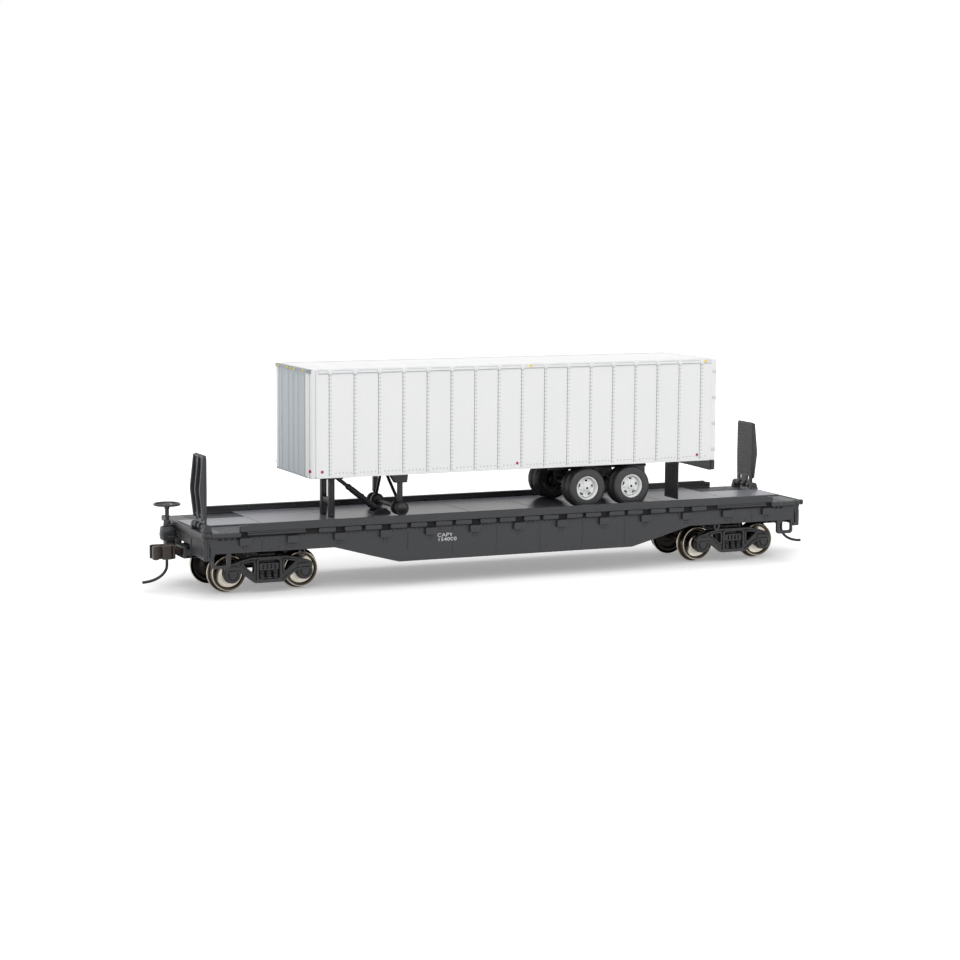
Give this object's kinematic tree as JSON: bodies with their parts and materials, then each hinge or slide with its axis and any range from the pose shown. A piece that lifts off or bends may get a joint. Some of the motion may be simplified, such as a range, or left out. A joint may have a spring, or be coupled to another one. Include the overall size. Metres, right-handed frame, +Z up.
{
  "type": "scale model fish-belly flatcar carrying a road trailer",
  "caption": "Scale model of a fish-belly rail flatcar on swivelling trucks, carrying a box road trailer held by its hitch stand, with fold-down bridge plates at its ends.",
  "frame": {"origin": "centre of the car on the plane of the wheel flanges' lowest points", "axes": "+X along the car from its brake-wheel end to the other end, +Y across it, +Z up"},
  "size_m": [0.2038, 0.0372, 0.0593],
  "materials": {
    "car_plastic": "semi-matt moulded and painted charcoal plastic",
    "truck_plastic": "matt black moulded acetal",
    "wheel_metal": "turned and plated metal",
    "coupler_plastic": "brown moulded acetal",
    "pin_metal": "blackened steel wire",
    "trailer_white": "satin white painted plastic",
    "trailer_silver": "satin silver-grey painted plastic",
    "undergear_plastic": "black moulded plastic",
    "tyre_rubber": "black moulded tyre",
    "rim_plastic": "white painted plastic"
  },
  "bodies": {
    "car": {"deck": "car_plastic", "deck_centre_plate": "car_plastic", "guard_rails": "car_plastic", "side_sill_left": "car_plastic", "side_sill_right": "car_plastic", "stake_pockets": "car_plastic", "centre_sill": "car_plastic", "cross_bearers": "car_plastic", "draft_sills": "car_plastic", "corner_steps": "car_plastic", "brake_stand": "car_plastic", "brake_wheel": "car_plastic", "end_sill_a": "car_plastic", "end_sill_b": "car_plastic", "body_bolster_a": "car_plastic", "body_bolster_b": "car_plastic", "draft_boxes": "car_plastic", "bridge_hinges": "car_plastic", "hitch_plate": "car_plastic", "hitch_legs": "car_plastic", "hitch_strut": "car_plastic", "hitch_base": "car_plastic", "trailer_side_left": "trailer_white", "trailer_side_right": "trailer_white", "trailer_nose": "trailer_silver", "trailer_floor": "undergear_plastic", "trailer_roof": "trailer_white", "trailer_rear_frame": "trailer_white", "rear_door_left": "trailer_white", "rear_door_right": "trailer_white", "kingpin_plate": "undergear_plastic", "landing_legs": "undergear_plastic", "landing_wheels": "undergear_plastic", "landing_braces": "undergear_plastic", "trailer_bogie": "undergear_plastic", "mud_flaps": "undergear_plastic", "bumper_gussets": "undergear_plastic", "rear_bumper": "undergear_plastic"},
    "truck_a": {"truck_bolster_a": "truck_plastic", "truck_springs_a": "truck_plastic", "truck_side_frames_a": "truck_plastic"},
    "axle_a_left": {"wheelset_a_left": "wheel_metal"},
    "axle_a_right": {"wheelset_a_right": "wheel_metal"},
    "coupler_a": {"coupler_a": "coupler_plastic", "trip_pin_a": "pin_metal"},
    "bridge_plate_a": {"bridge_plate_a": "car_plastic"},
    "truck_b": {"truck_bolster_b": "truck_plastic", "truck_springs_b": "truck_plastic", "truck_side_frames_b": "truck_plastic"},
    "axle_b_left": {"wheelset_b_left": "wheel_metal"},
    "axle_b_right": {"wheelset_b_right": "wheel_metal"},
    "coupler_b": {"coupler_b": "coupler_plastic", "trip_pin_b": "pin_metal"},
    "bridge_plate_b": {"bridge_plate_b": "car_plastic"},
    "trailer_axle_front": {"trailer_tyres_front_left": "tyre_rubber", "trailer_tyres_front_right": "tyre_rubber", "trailer_wheels_front": "rim_plastic"},
    "trailer_axle_rear": {"trailer_tyres_rear_left": "tyre_rubber", "trailer_tyres_rear_right": "tyre_rubber", "trailer_wheels_rear": "rim_plastic"}
  },
  "joints": [
    {"name": "truck_swivel_a", "type": "hinge", "parent": "car", "child": "truck_a", "pos_m": [-0.07095, 0, 0.0097], "axis": [0, 0, 1], "range_deg": [-12, 12]},
    {"name": "axle_spin_a_left", "type": "hinge", "parent": "truck_a", "child": "axle_a_left", "pos_m": [-0.08105, 0, 0.00545], "axis": [0, 1, 0], "continuous": true},
    {"name": "axle_spin_a_right", "type": "hinge", "parent": "truck_a", "child": "axle_a_right", "pos_m": [-0.06085, 0, 0.00545], "axis": [0, 1, 0], "continuous": true},
    {"name": "coupler_swing_a", "type": "hinge", "parent": "car", "child": "coupler_a", "pos_m": [-0.0868, 0, 0.01065], "axis": [0, 0, 1], "range_deg": [-10, 10], "stiffness_Nm_per_rad": 0.0001},
    {"name": "bridge_fold_a", "type": "hinge", "parent": "car", "child": "bridge_plate_a", "pos_m": [-0.0894, -0.0122, 0.01895], "axis": [0, -1, 0], "range_deg": [0, 90]},
    {"name": "truck_swivel_b", "type": "hinge", "parent": "car", "child": "truck_b", "pos_m": [0.07095, 0, 0.0097], "axis": [0, 0, 1], "range_deg": [-12, 12]},
    {"name": "axle_spin_b_left", "type": "hinge", "parent": "truck_b", "child": "axle_b_left", "pos_m": [0.06085, 0, 0.00545], "axis": [0, 1, 0], "continuous": true},
    {"name": "axle_spin_b_right", "type": "hinge", "parent": "truck_b", "child": "axle_b_right", "pos_m": [0.08105, 0, 0.00545], "axis": [0, 1, 0], "continuous": true},
    {"name": "coupler_swing_b", "type": "hinge", "parent": "car", "child": "coupler_b", "pos_m": [0.0868, 0, 0.01065], "axis": [0, 0, 1], "range_deg": [-10, 10], "stiffness_Nm_per_rad": 0.0001},
    {"name": "bridge_fold_b", "type": "hinge", "parent": "car", "child": "bridge_plate_b", "pos_m": [0.0894, 0.0122, 0.01895], "axis": [0, 1, 0], "range_deg": [0, 90]},
    {"name": "trailer_axle_spin_front", "type": "hinge", "parent": "car", "child": "trailer_axle_front", "pos_m": [0.02315, 0, 0.02375], "axis": [0, 1, 0], "continuous": true},
    {"name": "trailer_axle_spin_rear", "type": "hinge", "parent": "car", "child": "trailer_axle_rear", "pos_m": [0.03715, 0, 0.02375], "axis": [0, 1, 0], "continuous": true}
  ]
}
